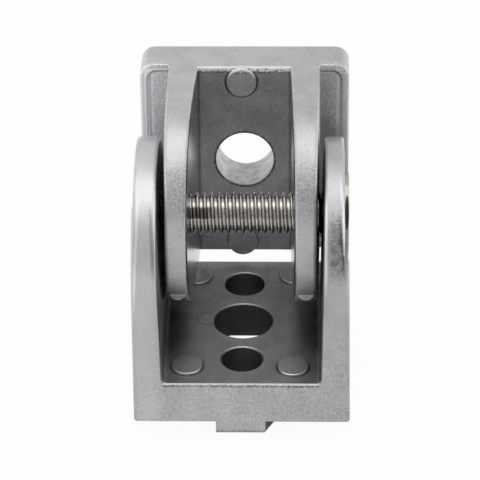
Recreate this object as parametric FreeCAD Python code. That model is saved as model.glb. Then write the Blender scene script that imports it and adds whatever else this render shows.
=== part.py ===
import FreeCAD, Part
import math
import os

from FreeCAD import Vector as V

# Profile pivot joint: two die-cast brackets on one countersunk screw.
# Frame: origin at the centre of the outer bracket's mounting face, +Z out of the
# profile, X along the pivot. All sizes are in millimetres and degrees.

# Outer bracket: the plate with the ears at its edges
width = 30.0
outer_length = 30.0
outer_plate = 6.7
pivot_height = 24.85
tip_reach = 9.9
side_draft = 0.6
outer_ear_root = 4.05
outer_ear_tip = 3.6

# Inner bracket: the plate with the ears set in
inner_length = 28.9
inner_plate = 7.35
inner_tip_reach = 9.55
inner_ear_root = 4.25
inner_ear_tip = 3.05
frame_step = 0.8
frame_wall = 0.85
recess_depth = 0.55
recess_slope = 0.45
plate_corner = 2.0
plate_end_round = 0.7
plate_toe = 0.3

# Holes and the marks of the ejector pins
centre_hole = 8.3
side_hole = 5.75
side_hole_pitch = 18.5
pad_diameter = 4.4
pad_height = 0.35
pad_round = 0.15
outer_pad_places = ((-7.6, -11.0), (7.1, -11.2), (-7.0, 11.0), (7.2, 11.2))
inner_pad_places = ((-0.4, 12.1), (-0.4, -13.1))
lower_pad_depth = 1.5
tip_mark_diameter = 2.3
tip_mark_offset = -9.35
tip_mark_sink = 0.3
hole_chamfer = 0.15

# Lugs that stop the plates from turning in a profile slot
lug_left = 3.6
lug_right = 4.45
lug_slant = 1.2
lug_height = 2.0
lug_length = 2.4
inner_lug_inset = 1.2
relief_length = 11.5
relief_width = 15.0
relief_depth = 1.5
relief_corner = 1.0

# Pivot screw and nut
thread = 6.0
head_diameter = 11.9
head_land = 0.6
head_proud = 0.64
head_angle = 90.0
socket_flats = 4.0
socket_depth = 2.4
nut_flats = 10.0
nut_height = 2.6
nut_chamfer = 1.0
nut_chamfer_rim = 0.2
nut_pocket_depth = 2.4
head_spot_depth = 0.64
head_spot_radius = 13.4
nut_spot_depth = 0.22
nut_spot_radius = 11.1

# Pose in which the joint is stored: the fold away from the straight position
rest_fold = 96.5

# Clearances, side play and edge roundings
pivot_clearance = 0.05
seat_clearance = 0.03
pocket_clearance = 0.05
width_step = 0.1
ear_root_play = 0.6
ear_tip_play = 0.6
edge_round = 0.5
root_round = 0.6
small_round = 0.3

# Values that follow from the sizes above
outer_radius = outer_length / 2
outer_tip = pivot_height + tip_reach
outer_arc_centre = outer_tip - outer_radius
half_gap_root = width / 2 - outer_ear_root
half_gap_tip = width / 2 - outer_ear_tip
inner_width = width - 2 * width_step
inner_radius = inner_length / 2
inner_tip = pivot_height + inner_tip_reach
inner_arc_centre = inner_tip - inner_radius
rim_height = inner_plate - frame_step
draft_slope = math.tan(math.radians(side_draft))
face_at_pivot = width / 2 - draft_slope * pivot_height
head_face = face_at_pivot - head_spot_depth
nut_face = nut_spot_depth - face_at_pivot

# Reach of the tools that cut right through, and how near an edge lies to a plane it is on
beyond = 2 * width
nearness = 0.01

X = V(1, 0, 0)
Y = V(0, 1, 0)
Z = V(0, 0, 1)


def polygon(points):
    return Part.Face(Part.makePolygon(points + points[:1]))


def box(low, high):
    size = high - low
    return Part.makeBox(size.x, size.y, size.z, low)


def cylinder(diameter, length, start, axis):
    return Part.makeCylinder(diameter / 2, length, start, axis)


def hexagon_prism(flats, length, start, axis):
    radius = flats / math.sqrt(3)
    turns = [math.radians(60 * i) for i in range(6)]
    corners = [start + Y * (radius * math.sin(t)) + Z * (radius * math.cos(t)) for t in turns]
    return polygon(corners).extrude(axis * length)


def upright(bounds):
    """An edge that runs up Z and is longer than any rounding."""
    return bounds.ZLength > edge_round + small_round


def upright_at(bounds, x):
    return upright(bounds) and abs(bounds.Center.x - x) < edge_round


def on_recess_rim(bounds, outside, reach):
    """A top edge of one of the recesses in the inner plate."""
    level = abs(bounds.Center.z - rim_height) < small_round and bounds.ZLength < small_round
    within = max(bounds.XMax, -bounds.XMin) < outside + small_round
    return level and within and max(bounds.YMax, -bounds.YMin) < reach + small_round


def rounded(shape, radius, test):
    return shape.makeFillet(radius, [edge for edge in shape.Edges if test(edge.BoundBox)])


def ear_outline(radius, arc_centre, base):
    """The side view of a bracket's ears: straight sides under a half circle."""
    left = Part.makePolygon([V(0, -radius, arc_centre), V(0, -radius, base), V(0, radius, base),
                             V(0, radius, arc_centre)])
    arc = Part.Arc(V(0, radius, arc_centre), V(0, 0, arc_centre + radius), V(0, -radius, arc_centre))
    face = Part.Face(Part.Wire(left.Edges + [arc.toShape()]))
    face.translate(X * -beyond)
    return face.extrude(X * 2 * beyond)


def outer_section():
    """The front view of the outer bracket: a tapered U, run along Y."""
    half = width / 2
    taper = draft_slope * outer_tip
    points = [V(-half, 0, 0), V(half, 0, 0), V(half - taper, 0, outer_tip),
              V(half_gap_tip, 0, outer_tip), V(half_gap_root, 0, outer_plate),
              V(-half_gap_root, 0, outer_plate), V(-half_gap_tip, 0, outer_tip),
              V(-half + taper, 0, outer_tip)]
    face = polygon(points)
    face.translate(Y * -beyond)
    return face.extrude(Y * 2 * beyond)


def on_ear_root(bounds):
    """The inner corner where an outer ear stands on its plate."""
    level = max(abs(bounds.ZMin - outer_plate), abs(bounds.ZMax - outer_plate)) < nearness
    return level and bounds.YLength > outer_radius


def pad(place, lift, base):
    """A low round pad that an ejector pin leaves on a plate's inner face."""
    x, y = place
    top = base + pad_height
    pin = cylinder(pad_diameter, lift + pad_height, V(x, y, base - lift), Z)
    return rounded(pin, pad_round, lambda b: b.ZMin > (base + top) / 2)


def lug(half_length, side):
    """One anti-turn lug under a plate; it ends at half_length, and its +X side slants there."""
    near = side * (half_length - lug_length)
    far = side * half_length
    plan = polygon([V(-lug_left, near, -lug_height), V(lug_right, near, -lug_height),
                    V(lug_right - lug_slant, far, -lug_height), V(-lug_left, far, -lug_height)])
    block = plan.extrude(Z * (lug_height + outer_plate / 2))
    return rounded(block, edge_round, lambda b: b.ZMax < 0)


def spot_cut(face, radius):
    """What the flat seat round the pivot takes off the outside of an outer ear."""
    return cylinder(2 * radius, width, V(face, 0, pivot_height), X * math.copysign(1, face))


def on_head_rim(bounds):
    """The curved edge between the screw head's seat and its ear's rim."""
    level = max(abs(bounds.XMin - head_face), abs(bounds.XMax - head_face)) < nearness
    return level and bounds.ZMax > outer_tip - edge_round


def head_cone(clearance):
    """The screw's cone: its wide radius, its narrow radius and its length."""
    wide = head_diameter / 2 + clearance
    narrow = thread / 2 + clearance
    return wide, narrow, (wide - narrow) / math.tan(math.radians(head_angle / 2))


def head_seat():
    """The countersink in the head's ear, with room around the head's straight rim."""
    wide, narrow, length = head_cone(seat_clearance)
    start = V(head_face + head_proud - head_land, 0, pivot_height)
    cone = Part.makeCone(wide, narrow, length, start, X * -1)
    return cone.fuse(cylinder(2 * wide, width, start, X))


def nut_pocket():
    start = V(nut_face + nut_pocket_depth, 0, pivot_height)
    return hexagon_prism(nut_flats + 2 * pocket_clearance, width, start, X * -1)


def plate_hole(diameter, y):
    """A hole through the outer plate and the slight chamfer at its inner end."""
    rim = diameter / 2 + hole_chamfer
    cone = Part.makeCone(rim - 2 * hole_chamfer, rim, 2 * hole_chamfer,
                         V(0, y, outer_plate - 2 * hole_chamfer), Z)
    return [cylinder(diameter, 2 * beyond, V(0, y, -beyond), Z), cone]


def pivot_bore():
    return cylinder(thread + 2 * pivot_clearance, 2 * beyond, V(-beyond, 0, pivot_height), X)


def outer_bracket():
    """The cast bracket that carries the screw: a plate with an ear at each side."""
    body = outer_section().common(ear_outline(outer_radius, outer_arc_centre, 0))
    body = rounded(rounded(body, edge_round, upright), root_round, on_ear_root)
    body = body.cut([spot_cut(head_face, head_spot_radius), spot_cut(nut_face, nut_spot_radius)])
    body = rounded(body, edge_round, on_head_rim)
    foot = edge_round + small_round
    body = rounded(body, small_round, lambda b: b.ZMax < small_round and b.XLength + b.YLength > foot)
    body = body.fuse([lug(outer_radius, side) for side in (-1, 1)])
    body = body.fuse([pad(place, root_round, outer_plate) for place in outer_pad_places])
    corner = V(relief_width / 2, relief_length / 2, relief_depth)
    relief = box(V(-corner.x, -corner.y, -lug_height), corner)
    holes = [rounded(relief, relief_corner, upright)]
    holes += plate_hole(centre_hole, 0)
    holes += plate_hole(side_hole, side_hole_pitch / 2) + plate_hole(side_hole, -side_hole_pitch / 2)
    return body.cut(holes + [head_seat(), nut_pocket(), pivot_bore()])


def inner_ear(side):
    """One inner ear: a tapered slab cut to the rounded side view, with its edges rounded."""
    root_out = half_gap_tip - ear_root_play
    root_in = root_out - inner_ear_root
    tip_out = half_gap_root - ear_tip_play
    tip_in = tip_out - inner_ear_tip
    sunk = inner_plate / 2
    outline = [(root_in, sunk), (root_out, sunk), (root_out, inner_plate), (tip_out, inner_tip),
               (tip_in, inner_tip), (root_in, inner_plate)]
    slab = polygon([V(side * x, 0, z) for x, z in outline])
    slab.translate(Y * -beyond)
    ear = slab.extrude(Y * 2 * beyond).common(ear_outline(inner_radius, inner_arc_centre, sunk))
    return rounded(ear, edge_round, lambda b: b.ZMax > inner_arc_centre or b.ZLength > inner_plate)


def tip_mark(side):
    """The mark of an ejector pin: a round that stands up through an inner ear's curved edge."""
    curve = inner_arc_centre + math.sqrt(inner_radius ** 2 - tip_mark_offset ** 2)
    x = side * (half_gap_root - ear_tip_play - inner_ear_tip / 2)
    length = 2 * tip_mark_diameter
    return cylinder(tip_mark_diameter, length, V(x, tip_mark_offset, curve - tip_mark_sink - length), Z)


def inner_plate_body():
    """The inner bracket's plate: outside each ear a low rim stands round a shallow recess."""
    half = V(inner_width / 2, inner_length / 2, rim_height)
    toe = half.y + plate_toe
    body = rounded(box(V(-half.x, -toe, 0), half), plate_corner, upright)
    body = rounded(body, small_round, lambda b: b.ZMin > rim_height - small_round)
    inside = half_gap_tip - ear_root_play
    middle = box(V(-inside, -toe, 0), V(inside, half.y, inner_plate))
    middle = rounded(middle, plate_end_round, lambda b: b.YMin > 0 and b.ZMin > rim_height)
    middle = rounded(middle, small_round, lambda b: b.YMax < 0 and b.ZMin > rim_height)
    body = body.fuse(middle)
    outside = half.x - frame_wall - recess_slope
    reach = half.y - frame_wall - recess_slope
    for side in (-1, 1):
        xs = sorted((side * inside, side * outside))
        recess = box(V(xs[0], -reach, rim_height - recess_depth), V(xs[1], reach, inner_plate))
        far = [e for e in recess.Edges if upright_at(e.BoundBox, side * outside)]
        body = body.cut(recess.makeFillet(plate_corner - frame_wall, far))
    return body.makeChamfer(recess_slope, [e for e in body.Edges if on_recess_rim(e.BoundBox, outside, reach)])


def inner_bracket():
    """The inner bracket, built on its own mounting face and then swung into place."""
    upper, lower = inner_pad_places
    body = inner_plate_body().fuse([inner_ear(side) for side in (-1, 1)])
    body = body.fuse([pad(upper, root_round, inner_plate), pad(lower, lower_pad_depth, inner_plate)])
    body = body.fuse([lug(inner_radius - inner_lug_inset, side) for side in (-1, 1)])
    body = body.fuse([tip_mark(side) for side in (-1, 1)])
    body = body.cut([cylinder(centre_hole, 2 * beyond, V(0, 0, -beyond), Z), pivot_bore()])
    body.rotate(V(0, 0, pivot_height), X, 180 - rest_fold)
    return body


def pivot_screw():
    """A countersunk screw with a hex socket; its tip is flush with the nut."""
    top = V(head_face + head_proud, 0, pivot_height)
    tip = V(nut_face + nut_pocket_depth - nut_height, 0, pivot_height)
    wide, narrow, length = head_cone(0)
    land = cylinder(head_diameter, head_land, top, X * -1)
    cone = Part.makeCone(wide, narrow, length, top - X * head_land, X * -1)
    shank = cylinder(thread, top.x - head_land - tip.x, tip, X)
    socket = hexagon_prism(socket_flats, width, top - X * socket_depth, X)
    return land.fuse([cone, shank]).cut(socket)


def pivot_nut():
    """A thin hex nut, chamfered outside, that sits in the other ear's pocket."""
    seat = V(nut_face + nut_pocket_depth, 0, pivot_height)
    face = seat - X * nut_height
    corner = nut_flats / math.sqrt(3)
    rim = nut_flats / 2 - nut_chamfer_rim
    slope = (corner - rim) / nut_chamfer
    chamfered = Part.makeCone(rim, rim + slope * nut_height, nut_height, face, X)
    hole = cylinder(thread + 2 * seat_clearance, 2 * beyond, V(-beyond, 0, pivot_height), X)
    return hexagon_prism(nut_flats, nut_height, seat, X * -1).common(chamfered).cut(hole)


nodes = {"outer_bracket": outer_bracket, "inner_bracket": inner_bracket,
         "pivot_screw": pivot_screw, "pivot_nut": pivot_nut}

os.makedirs("parts", exist_ok=True)
for name, make in nodes.items():
    make().removeSplitter().exportStep("parts/" + name + ".step")
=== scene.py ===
import bpy
import bmesh
import math
from mathutils import Matrix, Vector


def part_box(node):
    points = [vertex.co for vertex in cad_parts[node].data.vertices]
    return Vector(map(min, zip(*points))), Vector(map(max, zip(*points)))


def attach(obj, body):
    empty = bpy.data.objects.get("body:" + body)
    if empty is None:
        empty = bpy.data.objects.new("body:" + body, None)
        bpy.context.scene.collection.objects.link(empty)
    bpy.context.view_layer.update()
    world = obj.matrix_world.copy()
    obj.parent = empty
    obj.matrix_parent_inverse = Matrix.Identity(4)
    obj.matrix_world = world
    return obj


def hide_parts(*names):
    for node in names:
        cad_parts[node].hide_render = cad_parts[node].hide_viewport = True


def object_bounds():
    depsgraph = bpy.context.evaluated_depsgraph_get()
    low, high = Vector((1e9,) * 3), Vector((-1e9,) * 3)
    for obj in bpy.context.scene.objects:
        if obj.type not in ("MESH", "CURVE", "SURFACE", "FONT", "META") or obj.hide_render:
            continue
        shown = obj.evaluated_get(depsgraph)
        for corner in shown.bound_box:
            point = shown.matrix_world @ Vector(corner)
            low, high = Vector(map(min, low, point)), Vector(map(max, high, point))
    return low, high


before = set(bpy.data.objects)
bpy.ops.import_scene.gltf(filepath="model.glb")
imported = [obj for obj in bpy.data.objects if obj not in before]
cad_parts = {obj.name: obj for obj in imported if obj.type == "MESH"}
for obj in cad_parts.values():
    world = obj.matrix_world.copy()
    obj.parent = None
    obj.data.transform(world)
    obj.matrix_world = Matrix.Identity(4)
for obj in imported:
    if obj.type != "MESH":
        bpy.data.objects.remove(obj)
cad_box = [list(corner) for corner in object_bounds()]
mm = 0.001


# Outer bracket: the wide casting that stands on the profile, a drilled plate with a rounded ear
# at each side. Die-cast light alloy, tumbled after casting, so its skin is satin and sandy, with
# small pits and soft edges. Painted highlights lie on its edges and painted shade in its hollows.

plate_top = 6.7 * mm
plate_half = 15 * mm
side_draft = 0.0105
ear_inside = 10.95 * mm
ear_lean = 0.016
centre_hole_radius = 4.15 * mm
side_hole_radius = 2.875 * mm
side_hole_y = 9.25 * mm
pin_mark_radius = 2.2 * mm
small_mark_radius = 1.3 * mm
front_pin_marks = ((-7.6, -11.0), (7.1, -11.2))
back_pin_marks = ((-7.0, 11.0), (7.2, 11.2))

tumbled_low = (0.44, 0.445, 0.46, 1)
tumbled_high = (0.80, 0.80, 0.815, 1)
# Colours for dirt and painted shade, and for painted highlights
shaded_low = (0.075, 0.076, 0.08, 1)
shaded_high = (0.26, 0.259, 0.262, 1)
highlight_white = (0.97, 0.97, 0.98, 1)


class Value:
    """A socket of a finish. Sums and products written on it add the nodes that do them."""

    def __init__(self, finish, socket):
        self.finish = finish
        self.socket = socket

    def maths(self, operation, *terms):
        return self.finish.node("ShaderNodeMath", {"operation": operation}, dict(enumerate(terms)))

    def __add__(self, other):
        return self.maths("ADD", self, other)

    __radd__ = __add__

    def __mul__(self, other):
        return self.maths("MULTIPLY", self, other)

    __rmul__ = __mul__

    def __sub__(self, other):
        return self.maths("SUBTRACT", self, other)

    def __rsub__(self, other):
        return self.maths("SUBTRACT", other, self)

    def __truediv__(self, other):
        return self.maths("DIVIDE", self, other)

    def __pow__(self, other):
        return self.maths("POWER", self, other)

    def size(self):
        return self.maths("ABSOLUTE", self)

    def larger(self, other):
        return self.maths("MAXIMUM", self, other)

    def smaller(self, other):
        return self.maths("MINIMUM", self, other)

    def rise(self, low, high):
        """0 below low and 1 above high, with a smooth step between them."""
        settings = {"interpolation_type": "SMOOTHSTEP"}
        inputs = {"Value": self, "From Min": low, "From Max": high}
        return self.finish.node("ShaderNodeMapRange", settings, inputs)

    def above(self, limit, soft):
        """1 above the limit and 0 below it, with a step that reaches soft to each side."""
        return self.rise(limit - soft, limit + soft)

    def below(self, limit, soft):
        return 1 - self.above(limit, soft)

    def between(self, low, high, soft):
        return self.above(low, soft) * self.below(high, soft)

    def near(self, middle, reach, soft):
        return (self - middle).size().below(reach, soft)


class Finish:
    """The nodes of one material or of the world."""

    def __init__(self, owner):
        owner.use_nodes = True
        self.tree = owner.node_tree
        self.tree.nodes.clear()

    def node(self, kind, settings=None, inputs=None, output=0):
        made = self.tree.nodes.new(kind)
        for name, setting in (settings or {}).items():
            setattr(made, name, setting)
        for name, value in (inputs or {}).items():
            if isinstance(value, Value):
                self.tree.links.new(value.socket, made.inputs[name])
            else:
                made.inputs[name].default_value = value
        return Value(self, made.outputs[output]) if made.outputs else None

    def part_of(self, vector, axis):
        return self.node("ShaderNodeSeparateXYZ", inputs={0: vector}, output="XYZ".index(axis))

    def place(self):
        """Object coordinates, in metres."""
        return self.node("ShaderNodeTexCoord", output=3)

    def facing(self):
        """The way the surface faces, along the piece's own axes."""
        return self.node("ShaderNodeTexCoord", output=1)

    def noise(self, size, detail=2.0, roughness=0.5):
        """Soft noise from 0 to 1 whose lumps are about size metres across."""
        inputs = {"Vector": self.place(), "Scale": 1 / size, "Detail": detail,
                  "Roughness": roughness}
        return self.node("ShaderNodeTexNoise", inputs=inputs)

    def mix(self, factor, low, high):
        """A colour from low to high."""
        return self.node("ShaderNodeMix", {"data_type": "RGBA"}, {0: factor, 6: low, 7: high}, 2)

    def apart(self, first, second):
        """Distance from a line, from the two offsets across it."""
        return (first * first + second * second) ** 0.5

    def bump(self, height, distance, strength):
        inputs = {"Height": height, "Distance": distance, "Strength": strength}
        return self.node("ShaderNodeBump", inputs=inputs)

    def metal(self, colour, rough, shaped):
        """The shader of a bare metal surface, and the material's end."""
        shader = self.node("ShaderNodeBsdfPrincipled", inputs={
            "Base Color": colour, "Metallic": 1.0, "Roughness": rough, "Normal": shaped})
        self.node("ShaderNodeOutputMaterial", inputs={"Surface": shader})


def cast_alloy(finish, dirt_and_shade, painted_highlight, sandy, sleek):
    """The casting's skin. The masks say where dirt and painted shade darken it, where painted
    highlights brighten it, and where it is sandy or sleek.
    """
    cloud = finish.noise(3.5 * mm, 3.0)
    grain = finish.noise(0.42 * mm, 3.0, 0.75)
    sand = finish.noise(0.2 * mm, 2.0, 0.7)
    pit = finish.noise(0.36 * mm, 2.0, 0.8).rise(0.64, 0.72)
    speckle = grain.rise(0.3, 0.7) * 0.45 + sand.rise(0.3, 0.7) * 0.55 - 0.5
    light = cloud.rise(0.3, 0.7) * (0.2 + dirt_and_shade * 0.35) + 0.4 - dirt_and_shade * 0.18
    light = light + speckle * (0.45 + sandy * 1.3) - pit * (0.35 + sandy * 0.4)
    tumbled = finish.mix(light, tumbled_low, tumbled_high)
    soiled_and_shaded = finish.mix(light, shaded_low, shaded_high)
    colour = finish.mix(painted_highlight, finish.mix(dirt_and_shade, tumbled, soiled_and_shaded), highlight_white)
    rough = grain * 0.08 + cloud * 0.06 + 0.31 + dirt_and_shade * 0.1 - painted_highlight * 0.06 - sleek * 0.17
    height = (grain * 0.5 + sand * 0.5 - pit * 0.4) * (0.45 + sandy * 1.2) * (1 - sleek * 0.8)
    finish.metal(colour, rough, finish.bump(height, 0.05 * mm, 1.0))


def pin_mark(finish, across, along, radius, ragged, bright_side):
    """Masks of an ejector pin's mark: its top, its dark outline and a painted highlight on its edge,
    on the bright side.
    """
    apart = finish.apart(across, along)
    top = apart.below(radius, 0.05 * mm)
    outline = apart.above(radius - 0.03 * mm, 0.06 * mm) * apart.below(radius + 0.22 * mm, 0.08 * mm)
    edge = top * apart.above(radius - 0.27 * mm, 0.05 * mm)
    edge = edge * (along * bright_side).rise(0.2 * mm, 1.7 * mm)
    return top, outline * ragged.rise(0.2, 0.45), edge * ragged.rise(0.25, 0.5)


outer_skin = bpy.data.materials.new("outer_cast_skin")
finish = Finish(outer_skin)
place = finish.place()
x = finish.part_of(place, "X")
y = finish.part_of(place, "Y")
z = finish.part_of(place, "Z")
faces_side = finish.part_of(finish.facing(), "X").size()
ragged = finish.noise(0.35 * mm, 3.0, 0.7)
waver = (ragged - 0.5) * (0.5 * mm)
patch = finish.noise(0.9 * mm, 2.0)
wavy = patch - 0.5
right = x.above(0, mm)

# Between the ears it is darkened as painted shade, more so in the corners at their roots and along
# the back edge, and the whole piece is painted darker towards the right
out_from_middle = x.size() - (z - plate_top) * ear_lean
on_top = z.above(plate_top - 0.1 * mm, 0.05 * mm)
inside = out_from_middle.below(ear_inside + 0.15 * mm, 0.12 * mm) * on_top
corner = out_from_middle.rise(7.5 * mm, 11 * mm) * (1 - z.rise(plate_top, 14 * mm))
corner = corner * y.above(-10 * mm, 5 * mm) * (0.6 - x.above(0, 2 * mm) * 0.12)
back_strip_shade = y.above(12.2 * mm, 1.2 * mm) * on_top * inside
dirt_and_shade = inside * (0.3 + corner) + back_strip_shade * 0.2 + x.rise(-6 * mm, 14 * mm) * 0.1

# Painted shade smears and streaks the ears' front edges, and painted highlights line their rounded
# edges. The left ear is painted lighter
fall = 32.3 * mm - z
faces_front = y.below(-3 * mm, 2 * mm) * faces_side.below(0.93, 0.04)


def leaning(slope, wave=0.0):
    """X across an ear, from a line that moves out by the slope as it falls, and wavers."""
    return x - fall * slope + wavy * wave


shade_smear = leaning(0, 0.9 * mm).above(12.2 * mm, 0.35 * mm)
shade_smear = shade_smear * leaning(0.09).below(13.45 * mm, 0.12 * mm)
shade_smear = shade_smear * z.between(24.3 * mm, 30.6 * mm, 1.3 * mm) * faces_front
shadow = leaning(0.09, 0.5 * mm).above(13.05 * mm, 0.3 * mm)
# A painted shade streak down the left ear
streak = leaning(0.04, 0.3 * mm).near(-12.1 * mm, 0.15 * mm, 0.15 * mm)
streak = streak * z.above(24.4 * mm, 1.2 * mm) * z.below(31.4 * mm, 1 * mm) * faces_front
# Painted highlights along the ears' rounded edges
left_edge_highlight = leaning(-0.045).near(-13.8 * mm, 0.16 * mm, 0.12 * mm)
left_edge_highlight = left_edge_highlight * z.above(20 * mm, 5 * mm) * z.below(31.5 * mm, 2 * mm)
right_edge_highlight = leaning(0.1).near(13.75 * mm, 0.16 * mm, 0.1 * mm)
right_edge_highlight = right_edge_highlight * z.above(27.6 * mm, 1.2 * mm) * z.below(33.5 * mm, 1 * mm)
inner_edge_highlight = x.size().near(11.62 * mm, 0.18 * mm, 0.12 * mm) * z.below(32.2 * mm, 1 * mm)
inner_edge_highlight = inner_edge_highlight * (z.above(23 * mm, 2.5 * mm) * right
                           + z.above(28 * mm, 2 * mm) * (1 - right) * 0.7)
rim_side_shade = (x.size() + z * side_draft - plate_half).above(-0.5 * mm, 0.12 * mm)
rim_side_shade = rim_side_shade * z.below(32.6 * mm, 1 * mm) * faces_front
# Painted shade from the smears, the streak, the ears' outer side edges, more on the left, and the
# lug's underside
dirt_and_shade = dirt_and_shade + shade_smear * (0.3 + shadow * 0.4 + patch.rise(0.35, 0.6) * 0.2) + streak * 0.75
dirt_and_shade = dirt_and_shade + rim_side_shade * (0.06 + (1 - right) * 0.16) + z.below(-1.4 * mm, 0.25 * mm) * 0.3
painted_highlight = (left_edge_highlight * 0.75 + right_edge_highlight * 0.8 + inner_edge_highlight * 0.7) * faces_front
# The left ear is painted lighter, as light from the left
painted_highlight = painted_highlight + x.below(-11.5 * mm, mm) * 0.25

# Painted shade on the holes' walls, and a painted highlight on each hole's far edge
for middle, radius in ((0, centre_hole_radius), (side_hole_y, side_hole_radius),
                       (-side_hole_y, side_hole_radius)):
    apart = finish.apart(x, y - middle)
    wall = apart.below(radius + 0.06 * mm, 0.03 * mm) * (1 - on_top)
    far_edge_highlight = apart.below(radius + 0.24 * mm, 0.05 * mm) * on_top * (y - middle).rise(0, radius)
    dirt_and_shade = dirt_and_shade + wall * 0.45
    painted_highlight = painted_highlight + far_edge_highlight * ragged.rise(0.25, 0.5) * 0.9

# Four marks of the ejector pins, each with a painted highlight on the front of its edge, and a fifth
# that is small and faint
for marks, clean_top, strength in ((front_pin_marks, 0.3, 0.75), (back_pin_marks, 0.1, 0.4)):
    for mark_x, mark_y in marks:
        top, outline, edge = pin_mark(finish, x - mark_x * mm, y - mark_y * mm, pin_mark_radius,
                                      ragged, -1)
        dirt_and_shade = dirt_and_shade - top * on_top * clean_top + outline * on_top * strength
        painted_highlight = painted_highlight + edge * on_top * strength
top, outline, edge = pin_mark(finish, x + 5.2 * mm, y - 0.4 * mm, small_mark_radius, ragged, -1)
dirt_and_shade = dirt_and_shade + outline * on_top * 0.25

# The plate's front edge: a painted highlight as a bright ragged lip over a dark ragged line. The
# lug's slanted side is darkened as painted shade
front = y.below(0.12 * mm - plate_half, 0.08 * mm)
front = front * out_from_middle.below(ear_inside - 0.2 * mm, 0.1 * mm)
lip_highlight = front * (z + waver * 1.6).above(plate_top - 0.3 * mm, 0.1 * mm)
dark_ragged_line = front * (z + waver * 2.2).above(plate_top - 0.6 * mm, 0.08 * mm) - lip_highlight
slant_shade = z.below(-0.1 * mm, 0.05 * mm) * (x * 2 + y).above(-8.3 * mm, 0.15 * mm)
slant_shade = slant_shade * x.above(3 * mm, 0.1 * mm)
dirt_and_shade = dirt_and_shade.larger(dark_ragged_line * ragged.rise(0.3, 0.55) * 0.9) + slant_shade * 0.9 - lip_highlight
painted_highlight = painted_highlight + lip_highlight * ragged.rise(0.3, 0.5)

speck = finish.noise(0.8 * mm, 2.0, 0.9).rise(0.7, 0.74)
speck = speck * (1 - inside * 0.5) * z.below(24 * mm, 4 * mm)
sandy = z.below(12 * mm, 6 * mm) * (1 - inside) * 0.4 + shade_smear * 0.7 + inside * 0.25 + slant_shade * 0.2
cast_alloy(finish, dirt_and_shade + speck * 0.35, painted_highlight, sandy, sleek=0)
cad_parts["outer_bracket"].material_slots[0].material = outer_skin


# Inner bracket: the narrower casting that swings between the outer one's ears, from the same
# alloy and the same tumbling. Its plate has a shallow framed recess outside each ear.

rest_lean = math.radians(6.5)
pivot_height = 24.85 * mm
inner_plate = 7.35 * mm
half_gap = 6.55 * mm
gap_flare = 0.0285
end_mark_places = ((12.1 * mm, 1.0), (-13.1 * mm, 0.3))

inner_skin = bpy.data.materials.new("inner_cast_skin")
finish = Finish(inner_skin)
place = finish.place()
x = finish.part_of(place, "X")
y = finish.part_of(place, "Y")
z = finish.part_of(place, "Z") - pivot_height
faces_side = finish.part_of(finish.facing(), "X").size()
up_plate = y * math.sin(rest_lean) + z * math.cos(rest_lean)
off_plate = pivot_height - y * math.cos(rest_lean) + z * math.sin(rest_lean)
ragged = finish.noise(0.4 * mm, 3.0, 0.75)
waver = (ragged - 0.5) * (0.9 * mm)
left = 1 - x.rise(-2 * mm, 2 * mm)

# Between the ears it is darkened as painted shade, with a painted shade line at the ears' roots, and
# the whole piece is painted darker towards the right. Its end edge carries a painted highlight as a
# bright ragged line, with dirt under it
face = off_plate.above(inner_plate - 0.15 * mm, 0.1 * mm)
past_gap = x.size() - ((off_plate - inner_plate) * gap_flare + half_gap)
inside = past_gap.below(0.15 * mm, 0.12 * mm) * face
end_highlight = (up_plate + waver).above(13.75 * mm, 0.1 * mm)
end_dirt = inside * (up_plate + waver).above(13.55 * mm, 0.1 * mm)
end_dirt = end_dirt * up_plate.below(14.1 * mm, 0.15 * mm)
end_dirt = end_dirt * finish.noise(0.3 * mm, 2.0, 0.8).rise(0.44, 0.54)
root_shade = inside * past_gap.above(-0.25 * mm, 0.05 * mm) * off_plate.below(7.6 * mm, 0.1 * mm)
dirt_and_shade = inside * (1 - end_highlight) * (0.42 + up_plate.rise(4 * mm, 14 * mm) * 0.15)
dirt_and_shade = dirt_and_shade + end_dirt * 0.9 + root_shade * 0.3 + x.rise(-6 * mm, 14 * mm) * 0.08
painted_highlight = inside * end_highlight * ragged.rise(0.34, 0.56) * 0.8

# The framed recesses are sandy. The left one is painted lighter and the right one painted darker, as
# light from the left.
# Painted highlights lie on the frame and on the left sloped wall, with a crack down that wall and a
# dotted seam beside its ear
outside = x.size().above(10.9 * mm, 0.1 * mm) * off_plate.below(7 * mm, 0.1 * mm)
recess = outside * x.size().below(13.2 * mm, 0.2 * mm) * up_plate.below(12.9 * mm, 0.3 * mm)
recess = recess * off_plate.above(5 * mm, 0.3 * mm)
frame_top = outside * up_plate.above(13 * mm, 0.2 * mm) * off_plate.above(5.6 * mm, 0.3 * mm)
frame_side_highlight = outside * x.size().above(13.3 * mm, 0.1 * mm) * off_plate.above(6.2 * mm, 0.2 * mm)
wall = outside * off_plate.above(6.04 * mm, 0.04 * mm) * off_plate.below(6.56 * mm, 0.02 * mm)
wall = wall * x.size().below(14.2 * mm, 0.05 * mm) * up_plate.below(13.8 * mm, 0.05 * mm) * left
crack = wall * off_plate.between(6.3 * mm, 6.46 * mm, 0.03 * mm)
seam = x.size().near(11.15 * mm, 0.26 * mm, 0.06 * mm) * up_plate.below(12.6 * mm, 0.3 * mm)
seam = seam * off_plate.above(5 * mm, 0.2 * mm) * off_plate.below(6.9 * mm, 0.3 * mm) * left
dots = finish.noise(0.24 * mm, 2.0, 0.8)
dirt_and_shade = dirt_and_shade + recess * (1 - left) * 0.2 + crack * ragged.rise(0.25, 0.5) * 0.35
dirt_and_shade = dirt_and_shade + seam * dots.rise(0.5, 0.56) * 0.8
painted_highlight = painted_highlight + frame_top * ragged.rise(0.35, 0.6) * 0.35 + recess * left * 0.35
painted_highlight = painted_highlight + frame_side_highlight * left * 0.5 + (wall - crack) + seam * (1 - dots.rise(0.44, 0.49)) * 0.9

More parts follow.
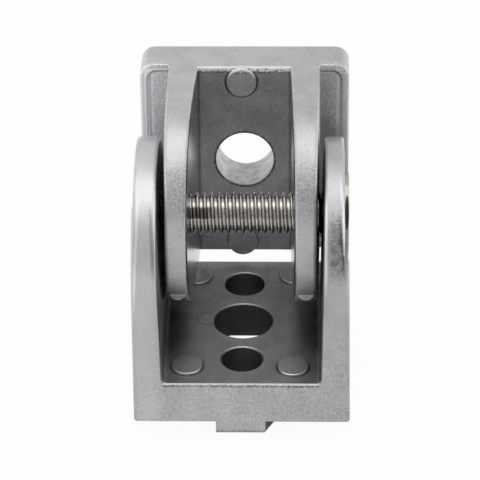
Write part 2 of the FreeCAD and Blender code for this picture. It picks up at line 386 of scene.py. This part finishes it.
# The ears' inner faces are sleek, their rims sanded in the middle, and each tip is darkened as
# painted shade, more on the left
cheek = past_gap.size().below(0.12 * mm, 0.06 * mm) * off_plate.above(7.9 * mm, 0.2 * mm)
rim = off_plate.above(8 * mm, 0.2 * mm) * faces_side.below(0.9, 0.05)
sanded = rim * up_plate.above(3.8 * mm, 1.2 * mm) * up_plate.below(10.2 * mm, 1 * mm)
tip_shade = off_plate.above(30.5 * mm, 0.1 * mm) * up_plate.below(-9.75 * mm, 0.3 * mm)
dirt_and_shade = dirt_and_shade + tip_shade * (up_plate.rise(-10.9 * mm, -9.9 * mm) * 0.5 + left * 0.25) - cheek * 0.22

# The hole's wall is smudged and darkened as painted shade, and its edge dark, and two pin marks lie
# on the plate, each with a painted highlight on its upper edge
apart = finish.apart(x, up_plate)
wall = apart.below(centre_hole_radius + 0.05 * mm, 0.03 * mm)
wall = wall * off_plate.below(inner_plate - 0.05 * mm, 0.05 * mm)
burr = apart.above(centre_hole_radius, 0.05 * mm)
burr = burr * apart.below(centre_hole_radius + 0.3 * mm, 0.12 * mm) * face
dirt_and_shade = dirt_and_shade + wall * (0.1 + finish.noise(1.3 * mm, 2.0).rise(0.4, 0.65) * 0.25)
dirt_and_shade = dirt_and_shade + burr * ragged.rise(0.35, 0.55) * 0.8
for along, strength in end_mark_places:
    top, outline, edge = pin_mark(finish, x + 0.4 * mm, up_plate - along, pin_mark_radius,
                                  ragged, 1)
    dirt_and_shade = dirt_and_shade + (outline * 0.9 - top * 0.1) * face * strength
    painted_highlight = painted_highlight + edge * face * strength

speck = finish.noise(0.9 * mm, 2.0, 0.9).rise(0.7, 0.74)
sandy = recess * (0.5 + left * 0.5) + frame_top * 0.6 + sanded * 0.6 + inside * 0.2 * (1 - cheek)
cast_alloy(finish, dirt_and_shade + speck * 0.3, painted_highlight, sandy, cheek)
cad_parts["inner_bracket"].material_slots[0].material = inner_skin


# Pivot screw: one countersunk machine screw, M6 with a 1 mm pitch, nickel plated, with a rolled
# thread.
# Its crests and roots carry painted highlights, and its flanks painted shade and a painted dark
# reflection.
# The head seats in the outer bracket's right ear, and the end is in the nut.

screw_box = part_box("pivot_screw")
pivot_z = (screw_box[0].z + screw_box[1].z) / 2
thread_radius = 2.95 * mm
thread_pitch = 1.0 * mm
thread_depth = 0.58 * mm
crest_share = 0.1
foot_share = 1.4
head_radius = (screw_box[1].z - screw_box[0].z) / 2
tip_x = screw_box[0].x
head_x = screw_box[1].x
head_land = 0.6 * mm
head_chamfer = 0.12 * mm
tip_chamfer = 0.35 * mm
socket_flats = 4.0 * mm
socket_depth = 2.4 * mm
facets = 96
sharp_edge = math.radians(35)
# The camera's downward tilt, across which the thread's painted reflections lie
view_tilt = math.radians(33.54)

nickel_low = (0.62, 0.58, 0.52, 1)
nickel_high = (0.78, 0.75, 0.7, 1)
nickel_bright = (0.97, 0.955, 0.93, 1)
oil_and_shade_dark = (0.036, 0.033, 0.03, 1)


def plated(name):
    """Nickel plate, with oil and painted shade in the thread's roots and flanks, painted highlights
    on its crests and roots, and painted dark reflections across its middle, at its left end and on
    the head.
    """
    material = bpy.data.materials.new(name)
    finish = Finish(material)
    stain = finish.noise(1.6 * mm, 3.0)
    streak = finish.noise(0.2 * mm, 2.0)
    broken = finish.noise(0.25 * mm, 2.0, 0.8)
    wander = (stain - 0.5) * (0.9 * mm)
    place = finish.place()
    x = finish.part_of(place, "X")
    y = finish.part_of(place, "Y")
    z = finish.part_of(place, "Z") - pivot_z
    apart = finish.apart(y, z)
    view_lift = y * math.sin(view_tilt) + z * math.cos(view_tilt)
    height = view_lift.size()

    # Roots, flanks and crests of the thread, with painted highlights, painted shade and painted dark
    # reflections on them
    on_thread = apart.below(thread_radius + 0.1 * mm, 0.05 * mm)
    on_thread = on_thread * x.size().below(12.3 * mm, 0.1 * mm)
    root = on_thread * (1 - apart.rise(thread_radius - 0.5 * mm, thread_radius - 0.4 * mm))
    crest = apart.rise(thread_radius - 0.18 * mm, thread_radius - 0.06 * mm)
    flank = on_thread * (1 - root) * (1 - crest)
    # Painted highlights on the roots, brightest above the middle
    gleam = root * height.above(1 * mm, 0.15 * mm) * height.below(1.6 * mm, 0.45 * mm)
    gleam = gleam * (view_lift.above(0, 0.5 * mm) * 0.7 + 0.1)
    left_dark_reflection = (x + wander * 3 + (broken - 0.5) * (3 * mm)).below(-4.3 * mm, 0.9 * mm)
    dark_reflection_band = on_thread * (1 - (height + wander * 0.4).rise(0.65 * mm, 1 * mm))
    dark_reflection_band = dark_reflection_band * (left_dark_reflection * 0.6 + 0.15 + broken.rise(0.42, 0.6) * (0.4 - left_dark_reflection * 0.3))
    # Painted shade on the thread's top and bottom edges, and in the left gap between the ears
    edge = on_thread * height.rise(2 * mm, 2.6 * mm)
    left_gap_shade = on_thread * x.size().above(10.4 * mm, 0.2 * mm) * x.below(0, 1 * mm)

    # A painted dark reflection, an oval, on the head's land
    on_land = apart.above(head_radius - 0.15 * mm, 0.03 * mm)
    tall = (view_lift - 0.1 * mm) / (2.4 * mm)
    wide = (x - 14.44 * mm) / (0.27 * mm)
    dark_reflection_oval = on_land * (y * -1).above(0, 0.1 * mm) * (tall * tall + wide * wide).below(1, 0.15)

    oil_and_shade = root * 0.26 + flank * 0.45 + on_land * 0.25 + edge * 0.3 - gleam * 0.3
    oil_and_shade = (oil_and_shade.larger(dark_reflection_band).larger(dark_reflection_oval) + left_gap_shade * 0.9).smaller(0.95)
    clean = finish.mix(stain.rise(0.35, 0.7), nickel_low, nickel_high)
    # Painted highlights on the crests
    clean = finish.mix((gleam + crest * on_thread * 0.7) * 0.9, clean, nickel_bright)
    colour = finish.mix(oil_and_shade, clean, oil_and_shade_dark)
    finish.metal(colour, streak * 0.12 + 0.14, finish.bump(streak, 0.008 * mm, 0.6))
    return material


def put_mesh(name, mesh, material):
    piece = bpy.data.objects.new(name, mesh)
    bpy.context.scene.collection.objects.link(piece)
    mesh.materials.clear()
    mesh.materials.append(material)
    return piece


def around_screw(bm, along, reach):
    """A ring of points about the screw's line, at a distance that may depend on the turn."""
    ring = []
    for step in range(facets):
        turn = 2 * math.pi * step / facets
        away = reach(turn)
        ring.append(bm.verts.new((along, away * math.sin(turn), pivot_z + away * math.cos(turn))))
    return ring


def join_rings(bm, near, far):
    for i in range(facets):
        j = (i + 1) % facets
        bm.faces.new((near[i], near[j], far[j], far[i]))


def to_socket_wall(turn):
    """Distance from the screw's line to the wall of its six-sided socket."""
    from_flat = (turn + math.pi / 6) % (math.pi / 3) - math.pi / 6
    return socket_flats / 2 / math.cos(from_flat)


nickel = plated("nickel_plate")
screw_mesh = bpy.data.meshes.new("screw_body")
bm = bmesh.new()
cone_end = head_x - head_land - (head_radius - thread_radius)
core = thread_radius - thread_depth * 0.98
side_view = [(tip_x, core - tip_chamfer), (tip_x + tip_chamfer, core), (cone_end - 0.6 * mm, core),
             (cone_end, thread_radius), (head_x - head_land, head_radius),
             (head_x - head_chamfer, head_radius), (head_x, head_radius - head_chamfer)]
rings = [around_screw(bm, along, lambda turn: radius) for along, radius in side_view]
rings.append(around_screw(bm, head_x, to_socket_wall))
rings.append(around_screw(bm, head_x - socket_depth, to_socket_wall))
for near, far in zip(rings, rings[1:]):
    join_rings(bm, near, far)
bm.faces.new(rings[0])
bm.faces.new(rings[-1])
bmesh.ops.recalc_face_normals(bm, faces=bm.faces)
bm.to_mesh(screw_mesh)
bm.free()
screw_mesh.shade_smooth()
screw_mesh.set_sharp_from_angle(angle=sharp_edge)
screw = put_mesh("pivot_screw_dressed", screw_mesh, nickel)


def thread_tree():
    """Sweeps one ridge along a helix: a trapezoid whose foot is wider than the pitch."""
    tree = bpy.data.node_groups.new("screw_thread", "GeometryNodeTree")
    for name in ("Radius", "Pitch", "Depth", "Length"):
        tree.interface.new_socket(name, in_out="INPUT", socket_type="NodeSocketFloat")
    tree.interface.new_socket("Finish", in_out="INPUT", socket_type="NodeSocketMaterial")
    tree.interface.new_socket("Thread", in_out="OUTPUT", socket_type="NodeSocketGeometry")
    given = tree.nodes.new("NodeGroupInput").outputs

    def node(kind, settings=None, inputs=None):
        made = tree.nodes.new(kind)
        for name, setting in (settings or {}).items():
            setattr(made, name, setting)
        for name, value in (inputs or {}).items():
            if isinstance(value, bpy.types.NodeSocket):
                tree.links.new(value, made.inputs[name])
            else:
                made.inputs[name].default_value = value
        return made.outputs[0]

    def maths(operation, first, second):
        return node("ShaderNodeMath", {"operation": operation}, {0: first, 1: second})

    root = maths("SUBTRACT", given["Radius"], given["Depth"])
    spiral = node("GeometryNodeCurveSpiral", inputs={
        "Resolution": facets, "Rotations": maths("DIVIDE", given["Length"], given["Pitch"]),
        "Start Radius": root, "End Radius": root, "Height": given["Length"], "Reverse": True})
    upright = node("GeometryNodeSetCurveNormal", {"mode": "Z_UP"}, {"Curve": spiral})
    ridge = node("GeometryNodeCurvePrimitiveQuadrilateral", {"mode": "TRAPEZOID"}, {
        "Height": maths("MULTIPLY", given["Depth"], 2.0),
        "Bottom Width": maths("MULTIPLY", given["Pitch"], foot_share),
        "Top Width": maths("MULTIPLY", given["Pitch"], crest_share), "Offset": 0.0})
    pointing_out = node("GeometryNodeTransform", inputs={
        "Geometry": ridge, "Rotation": (0, 0, -math.pi / 2)})
    swept = node("GeometryNodeCurveToMesh", inputs={
        "Curve": upright, "Profile Curve": pointing_out, "Fill Caps": True})
    real = node("GeometryNodeRealizeInstances", inputs={"Geometry": swept})
    finished = node("GeometryNodeSetMaterial", inputs={"Geometry": real, "Material": given["Finish"]})
    out = tree.nodes.new("NodeGroupOutput")
    tree.links.new(finished, out.inputs["Thread"])
    return tree


thread_start = tip_x + 1.05 * mm
thread_length = cone_end - 0.3 * mm - thread_start
maker = bpy.data.objects.new("thread_maker", bpy.data.meshes.new("thread_blank"))
bpy.context.scene.collection.objects.link(maker)
modifier = maker.modifiers.new("thread", "NODES")
modifier.node_group = thread_tree()
sockets = {item.name: item.identifier for item in modifier.node_group.interface.items_tree}
for name, value in (("Radius", thread_radius), ("Pitch", thread_pitch), ("Depth", thread_depth),
                    ("Length", thread_length), ("Finish", nickel)):
    modifier[sockets[name]] = value
evaluated = maker.evaluated_get(bpy.context.evaluated_depsgraph_get())
thread_mesh = bpy.data.meshes.new_from_object(evaluated)
bpy.data.objects.remove(maker)
along_screw = Matrix.Translation((thread_start, 0, pivot_z)) @ Matrix.Rotation(math.pi / 2, 4, "Y")
thread_mesh.transform(along_screw)
thread = put_mesh("pivot_screw_thread", thread_mesh, nickel)

for piece in (screw, thread):
    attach(piece, "base")
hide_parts("pivot_screw")


# Pivot nut: a thin hex nut, cold formed and nickel plated like the screw. It lies in the left
# outer ear's pocket, whose flats keep it from turning.

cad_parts["pivot_nut"].material_slots[0].material = nickel


# Floor, light and camera: a white table and a white surround. The room is brightest overhead
# and at the sides, and dim where the camera stands, more so to its right.

black = (0, 0, 0, 1)
white = (1, 1, 1, 1)
paper_grey = (0.8, 0.8, 0.8, 1)
floor_z = cad_box[0][2]
floor_half = 3.0

floor_mesh = bpy.data.meshes.new("floor")
floor_mesh.from_pydata([(-floor_half, -floor_half, floor_z), (floor_half, -floor_half, floor_z),
                        (floor_half, floor_half, floor_z), (-floor_half, floor_half, floor_z)],
                       [], [(0, 1, 2, 3)])
paper = bpy.data.materials.new("white_paper")
finish = Finish(paper)
place = finish.place()
across = finish.part_of(place, "X").size()
along = finish.part_of(place, "Y")
aside = across.rise(20 * mm, 80 * mm)
behind = along.rise(-20 * mm, 30 * mm)
# In reflections the floor glows, brighter to the sides and behind, with a painted shadow under the
# object
shadow_under = across.below(14 * mm, 3 * mm) * along.size().below(14 * mm, 3 * mm)
lit_level = (0.68 + 0.32 * aside.larger(behind)) * (1 - shadow_under * 0.95)
path = finish.tree.nodes.new("ShaderNodeLightPath").outputs
seen_white = Value(finish, path["Is Camera Ray"]) * 0.95
mirrored = Value(finish, path["Is Glossy Ray"]) + Value(finish, path["Is Transmission Ray"])
matt = finish.node("ShaderNodeBsdfDiffuse", inputs={"Color": paper_grey})
glow = finish.node("ShaderNodeEmission", inputs={"Color": white, "Strength": 1.0})
tone = finish.mix(lit_level, black, white)
dim_glow = finish.node("ShaderNodeEmission", inputs={"Color": tone, "Strength": 1.0})
lit = finish.node("ShaderNodeMixShader", inputs={0: seen_white, 1: matt, 2: glow})
both = finish.node("ShaderNodeMixShader", inputs={0: mirrored, 1: lit, 2: dim_glow})
finish.node("ShaderNodeOutputMaterial", inputs={"Surface": both})
floor = put_mesh("floor", floor_mesh, paper)

world = bpy.data.worlds.new("studio")
bpy.context.scene.world = world
finish = Finish(world)
toward = finish.node("ShaderNodeTexCoord", output=0)
east = finish.part_of(toward, "X")
south = finish.part_of(toward, "Y") * -1
height = finish.part_of(toward, "Z")
room = 0.72 + 0.35 * east.size().rise(0.4, 0.8)
gloom = 0.62 - 0.47 * east.rise(-0.1, 0.45)
room = room + south.rise(0.25, 0.75) * (gloom - room)
room = room + 0.7 * height.rise(0.84, 0.97)
path = finish.tree.nodes.new("ShaderNodeLightPath").outputs
level = room + (1 - room) * Value(finish, path["Is Camera Ray"])

# A mix can't pass 1, and the ceiling does, so the colour is halved and the strength doubled
tone = finish.mix(level * 0.5, black, white)
sky = finish.node("ShaderNodeBackground", inputs={"Color": tone, "Strength": 2.0})
finish.node("ShaderNodeOutputWorld", inputs={"Surface": sky})

look_yaw = math.radians(1.712)
look_down = math.radians(33.54)
look_roll = math.radians(-0.777)
look_at = Vector((-0.344, 0, 20.434)) * mm
look_distance = 400 * mm
pixels_per_mm = 7.180
frame_pixels = 480
sensor_width = 36.0

camera = bpy.data.cameras.new("camera")
camera.sensor_width = sensor_width
camera.lens = pixels_per_mm * (look_distance / mm) / frame_pixels * sensor_width
camera.clip_start = 0.01
turn = (Matrix.Rotation(look_yaw, 4, "Z") @ Matrix.Rotation(math.pi / 2 - look_down, 4, "X")
        @ Matrix.Rotation(look_roll, 4, "Z"))
away = turn.to_3x3() @ Vector((0, 0, look_distance))
eye = bpy.data.objects.new("camera", camera)
eye.matrix_world = Matrix.Translation(look_at + away) @ turn
bpy.context.scene.collection.objects.link(eye)
bpy.context.scene.camera = eye
bpy.context.scene.view_settings.view_transform = "Standard"
